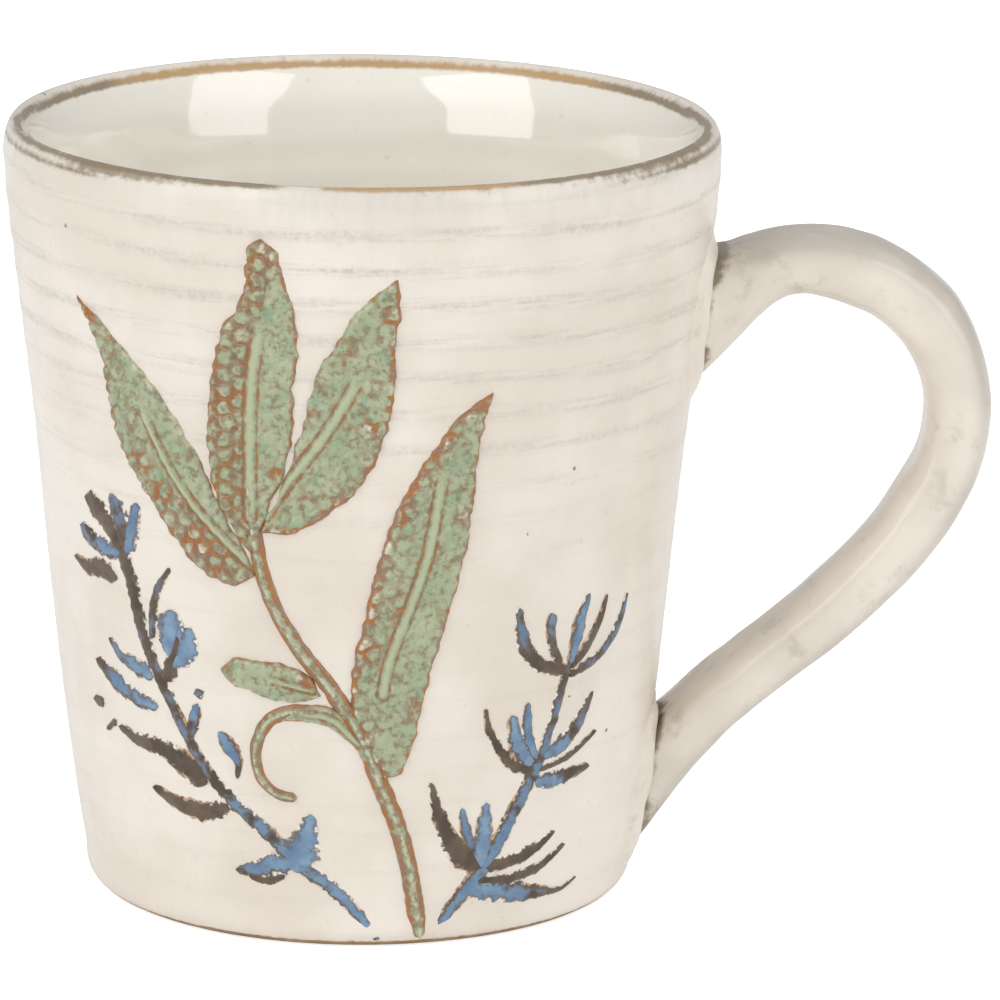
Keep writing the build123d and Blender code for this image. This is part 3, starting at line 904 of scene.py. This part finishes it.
    curled = sage_clay()
    leaf(
        curled,
        [(2.6, 23.6), (0.6, 26), (-1.6, 28.8), (-4.8, 30.7), (-8.2, 31), (-10.6, 31)],
        [(2.6, 23.6), (2.0, 27.4), (-1, 31.2), (-4, 33.3), (-7.6, 33.3), (-10.6, 31)],
        [(0, 28.4), (-4, 31.8), (-8, 32.2)],
        iron_left=(0.45, 0.6), iron_right=(0.5, 0.6), pebbly=(0.1, 0.1), rib_width=0.2,
    )
    rolled_strip(
        curled,
        [(-5.4, 32.4), (-8.6, 32.4), (-11.6, 31.2), (-13.6, 28.2), (-13.9, 25), (-12.9, 22.4),
         (-10.9, 21), (-8.4, 20.7)],
        2.2, 1.6, LEAF_PROUD,
    )
    curled.fire("sage_leaf_curled_clay", sage_glaze, "sage_glaze", "sage_leaf_curled")


# ---- brushed sprigs ----

BRUSH_PROUD = 0.3
BRUSH_SUNK = 0.2           # strokes reach this far into the wall
BRUSH_LOAD = 1.45          # a loaded brush lays down this much more than its drawn width
BRUSH_ACROSS = 14


def brush(clay, spine, widths, darks=(0.0, 0.0)):
    """One stroke of thick slip. Widths are given along it; darks are how brown its two ends are."""
    line = through(spine, 14)
    long = length_of(line)
    rows = max(ceil(long / STRIP_STEP), 6)
    line = even(line, rows)
    spread = even(through(list(enumerate(widths)), 10), rows)
    start = len(clay.points)
    for i, (s, z) in enumerate(line):
        side = sideways(line, i)
        share = i / rows
        half = spread[i][1] * BRUSH_LOAD / 2
        half *= rounded_end(share * long, half, 0.02)
        half *= rounded_end((1 - share) * long, half, 0.02)
        dark = darks[0] + (darks[1] - darks[0]) * share
        for j in range(BRUSH_ACROSS + 1):
            u = 2 * j / BRUSH_ACROSS - 1
            frayed = half * (1 + 0.3 * waver(s + u, z, 1.1, 21.0) + 0.16 * waver(s + 2 * u, z, 0.45, 22.0))
            at = s + side[0] * frayed * u, z + side[1] * frayed * u
            body = sqrt(max(1 - u * u, 0))
            lift = -BRUSH_SUNK + (BRUSH_SUNK + BRUSH_PROUD) * body
            lift += 0.05 * waver(at[0], at[1], 0.9, 23.0) * body
            clay.point(on_wall(at[0], at[1], lift), core=1 - abs(u), dark=dark, lean=0.16 * u)
    clay.net(start, rows + 1, BRUSH_ACROSS + 1)
    clay.close_under(start, rows + 1, BRUSH_ACROSS + 1)


def brushed(name, node, strokes):
    clay = Clay("core", "dark", "lean")
    for stroke in strokes:
        brush(clay, *stroke)
    clay.fire(name, blue_slip, "blue_slip", node)


def left_sprig():
    brushed("left_sprig_stem_slip", "left_sprig_stem", [
        ([(3.2, 1.3), (-1, 6), (-5, 9.4), (-8.4, 11.6), (-12, 15), (-18, 19.6), (-21, 22.6), (-24, 27),
          (-27, 32.4), (-29.4, 37), (-31, 42), (-32, 47), (-33.5, 50.8)],
         (1.3, 1.6, 1.7, 1.5, 1.5, 1.9, 2.0), (0.25, 0.9)),
    ])
    brushed("left_sprig_floret_slip", "left_sprig_floret", [
        ([(-33.4, 50.4), (-35.8, 53.6), (-38.2, 55.6), (-40.2, 56.2)], (1.6, 2.2, 2.8, 2.4), (0.9, 1.0)),
        ([(-33.0, 51), (-33.2, 54.6), (-34.6, 57.8)], (2.0, 2.6, 2.2), (0.9, 0.45)),
        ([(-32.4, 50.4), (-31.2, 53.6), (-30, 57.4)], (2.0, 2.1, 1.1), (0.3, 0.2)),
        ([(-33.6, 49.9), (-37, 50.2), (-40, 51), (-42, 52.1)], (1.4, 2.0, 2.0, 1.9), (0.2, 0.75)),
        ([(-34.6, 46.6), (-38, 47.2), (-41.4, 46.7), (-44.4, 47.4)], (2.2, 2.3, 2.0, 0.7), (1.0, 1.0)),
    ])
    brushed("left_sprig_outer_slip", "left_sprig_outer_leaves", [
        ([(-29.2, 34.4), (-32.6, 35.4), (-35, 36), (-37.4, 38)], (1.6, 2.0, 1.6, 0.7), (0.15, 0.6)),
        ([(-28.8, 30.4), (-32.4, 30.8), (-36.4, 32.2), (-41, 34.4)], (1.4, 2.0, 2.2, 1.3), (0.15, 0.9)),
        ([(-21.4, 21.4), (-25, 23.6), (-29.6, 25), (-33.4, 25.2), (-37, 26.2)], (3.4, 3.2, 2.2, 1.6, 0.9),
         (1.0, 1.0)),
        ([(-18.2, 18.4), (-22, 17.4), (-25.6, 17.6), (-31, 19.2)], (1.4, 2.2, 1.7, 0.9), (0.9, 1.0)),
        ([(-40.2, 28.5), (-42.8, 28.6)], (1.6, 1.3), (1.0, 1.0)),
        ([(-37.6, 26.8), (-40, 25.1)], (0.9, 0.6), (1.0, 1.0)),
    ])
    brushed("left_sprig_inner_slip", "left_sprig_inner_leaves", [
        ([(-29, 39.6), (-28.3, 44), (-27, 47.2), (-25.2, 49.6)], (0.8, 1.1, 1.0, 0.5), (0.6, 0.9)),
        ([(-26.3, 37.8), (-25.9, 40.6), (-25.2, 44.0)], (2.6, 3.8, 3.2), (0.05, 0.05)),
        ([(-25.6, 36.4), (-23.4, 39.2), (-22.6, 42)], (1.6, 2.6, 1.8), (0.1, 0.1)),
        ([(-24.6, 40.6), (-25.6, 37.6), (-27.2, 34.2)], (0.8, 1.8, 2.2), (0.9, 1.0)),
        ([(-21.2, 33.7), (-22.6, 33.3)], (1.3, 1.0), (0.6, 0.6)),
        ([(-22.2, 32), (-23, 29.4), (-24, 27)], (1.0, 1.5, 1.5), (0.1, 0.9)),
        ([(-19.2, 28.6), (-17.6, 26.6), (-16.6, 25), (-16.8, 22.6)], (1.2, 1.9, 1.0, 0.5), (0.1, 0.9)),
    ])
    brushed("left_sprig_bud_slip", "left_sprig_bud", [
        ([(-8.9, 10.6), (-8.0, 13.6), (-7.0, 16), (-6.6, 18.6)], (4.6, 4.8, 3.4, 1.2), (0.0, 0.1)),
        ([(-9.2, 11.6), (-12.2, 11.2), (-15.2, 10.2), (-17.8, 10)], (1.8, 2.4, 2.2, 0.8), (0.1, 0.7)),
        ([(-10.4, 9.9), (-13, 9.0), (-15.8, 9.4)], (0.7, 1.1, 0.6), (1.0, 1.0)),
    ])


def right_sprig():
    brushed("right_sprig_stem_slip", "right_sprig_stem", [
        ([(11.2, 1.7), (14.8, 6.4), (18, 10), (20.5, 14), (23, 18.6), (25.4, 23), (27.4, 28), (28.8, 33),
          (29.8, 36.6)], (1.5, 1.9, 2.0, 1.9, 1.7, 1.3, 1.2), (0.35, 0.75)),
    ])
    brushed("right_sprig_top_slip", "right_sprig_top_whorl", [
        ([(29.4, 35.8), (25, 37), (22.4, 39.8), (21.4, 42.6), (21.1, 45.2)], (1.4, 1.6, 1.7, 1.6, 0.8),
         (1.0, 0.6)),
        ([(28.3, 36.6), (26.6, 39.6), (26, 43.8)], (1.0, 1.2, 1.4), (1.0, 0.4)),
        ([(29.9, 36.4), (30.7, 39.6), (31.2, 42.2), (32.4, 45.4)], (0.9, 1.7, 1.7, 0.7), (0.1, 0.35)),
        ([(30.2, 35.8), (33, 38.6), (35, 41.6), (35.9, 44.6)], (1.0, 1.3, 1.2, 0.6), (1.0, 1.0)),
        ([(29.9, 34.8), (34, 36), (37.4, 37.9), (39.6, 40.6), (40.5, 43.8)], (0.8, 1.2, 1.2, 1.2, 0.6),
         (0.8, 0.55)),
    ])
    brushed("right_sprig_middle_slip", "right_sprig_middle_whorl", [
        ([(25.2, 22.8), (21.4, 24.2), (19, 27), (17.6, 29.6), (17, 32.2)], (1.1, 1.3, 1.2, 1.0, 0.5),
         (1.0, 1.0)),
        ([(24.6, 23.6), (22.2, 26.6), (21, 30.8)], (1.6, 2.1, 1.2), (0.3, 0.2)),
        ([(25.4, 24.4), (23.8, 27.4), (23.4, 32.2)], (1.2, 1.5, 0.8), (0.35, 0.2)),
        ([(26.4, 24.6), (29.6, 25.6), (32.6, 28), (34.8, 31.8)], (1.4, 2.0, 1.8, 0.7), (0.1, 1.0)),
        ([(26, 22.7), (31, 23.7), (36.4, 26.2)], (0.7, 0.8, 0.5), (1.0, 1.0)),
        ([(25.4, 21.3), (29, 21.0), (32, 21.3), (35.6, 21.6)], (1.4, 2.0, 1.5, 0.7), (0.1, 0.8)),
    ])
    brushed("right_sprig_low_slip", "right_sprig_low_whorl", [
        ([(18.0, 10.4), (14, 13.2), (11.8, 16.8), (10.6, 20), (9.8, 22.8)], (2.4, 2.8, 2.0, 1.4, 0.6),
         (0.9, 1.0)),
        ([(16.6, 12.8), (15.2, 15.8), (14.4, 19)], (1.1, 1.3, 0.7), (0.7, 0.3)),
        ([(17.7, 10.4), (17.8, 13.4), (17.9, 16), (18, 19.4)], (3.0, 3.2, 2.2, 0.9), (0.1, 0.1)),
        ([(18.6, 10.4), (23, 10.8), (27, 12), (30, 13.7)], (1.4, 1.6, 1.5, 0.7), (1.0, 1.0)),
        ([(17.6, 8.7), (23, 8.4), (28, 9.2), (32.4, 11.5)], (1.0, 1.2, 1.2, 0.6), (1.0, 1.0)),
        ([(15.8, 7.7), (21, 6.9), (26, 5.8), (30.6, 5.3)], (1.8, 2.6, 2.3, 1.0), (0.1, 0.8)),
        ([(30, 5.2), (33.4, 5.2), (36, 6.2)], (0.9, 0.6, 0.35), (1.0, 1.0)),
    ])


cup()
strap()
slip_mound("upper_slip_mound", "upper_handle_slip", 76.2, 8.2, 7.7)
slip_mound("lower_slip_mound", "lower_handle_slip", 13.2, 9.3, 7.4, beside=4.6)
sage_spray()
left_sprig()
right_sprig()


# ---- stage, light and camera, in metres ----

FLOOR_REACH = 9.0
SOFTBOX_AWAY = 1.3
SOFTBOX_HEIGHT = 0.7
LENS = 252.5               # millimetres
EYE = (0.0002, -0.8857, 0.2747)
YAW, DOWN, ROLL = radians(1.161), radians(14.221), radians(0.707)


def stage():
    floor_mesh = bpy.data.meshes.new("floor")
    corners = [(x * FLOOR_REACH, y * FLOOR_REACH, 0) for x, y in ((-1, -1), (1, -1), (1, 1), (-1, 1))]
    floor_mesh.from_pydata(corners, [], [(0, 1, 2, 3)])
    pale = bpy.data.materials.new("pale floor")
    pale.use_nodes = True
    shader = pale.node_tree.nodes["Principled BSDF"]
    shader.inputs["Base Color"].default_value = (0.92, 0.92, 0.92, 1)
    shader.inputs["Roughness"].default_value = 0.9
    shader.inputs["Specular IOR Level"].default_value = 0.1
    shader.inputs["Emission Color"].default_value = (1, 1, 1, 1)
    seen = put(pale.node_tree, "LightPath").outputs["Is Camera Ray"]
    glow = between(pale.node_tree, seen, 0.15, 0.7)
    pale.node_tree.links.new(glow, shader.inputs["Emission Strength"])
    floor_mesh.materials.append(pale)
    floor = add("floor", floor_mesh)


def softbox(name, side, size, power):
    """An upright softbox, `side` degrees round from the front, aimed at the mug."""
    light = bpy.data.lights.new(name, "AREA")
    light.shape = "RECTANGLE"
    light.size, light.size_y = size
    light.energy = power
    lamp = add(name, light)
    turn = radians(side)
    lamp.location = (SOFTBOX_AWAY * sin(turn), -SOFTBOX_AWAY * cos(turn), SOFTBOX_HEIGHT)
    aim = Vector((0, 0, HEIGHT * MM / 2)) - lamp.location
    lamp.rotation_euler = aim.to_track_quat("-Z", "Y").to_euler()


def pale_room():
    """Even light from all round that fades overhead, so upward faces are a little darker."""
    world = bpy.data.worlds.new("pale room")
    world.use_nodes = True
    tree = world.node_tree
    direction = put(tree, "TexCoord").outputs["Generated"]
    height = put(tree, "SeparateXYZ", {"Vector": direction}).outputs["Z"]
    level = soft(tree, height, 0.1, 0.9, 0.42, 0.68)
    background = tree.nodes["Background"]
    background.inputs["Color"].default_value = (1, 1, 1, 1)
    tree.links.new(level, background.inputs["Strength"])
    bpy.context.scene.world = world


def lights():
    pale_room()
    softbox("left_softbox", side=-50, size=(0.92, 1.35), power=8.0)
    softbox("right_softbox", side=53, size=(0.84, 1.35), power=6.2)
    bpy.context.scene.view_settings.view_transform = "Standard"


def camera():
    data = bpy.data.cameras.new("camera")
    data.lens = LENS
    data.sensor_width = 36
    eye = add("camera", data)
    ahead = Vector((sin(YAW) * cos(DOWN), cos(YAW) * cos(DOWN), -sin(DOWN)))
    level = Vector((cos(YAW), -sin(YAW), 0))
    above = level.cross(ahead)
    right = level * cos(ROLL) + above * sin(ROLL)
    up = above * cos(ROLL) - level * sin(ROLL)
    turned = Matrix((right, up, -ahead)).transposed().to_4x4()
    eye.matrix_world = Matrix.Translation(EYE) @ turned
    bpy.context.scene.camera = eye


stage()
lights()
camera()
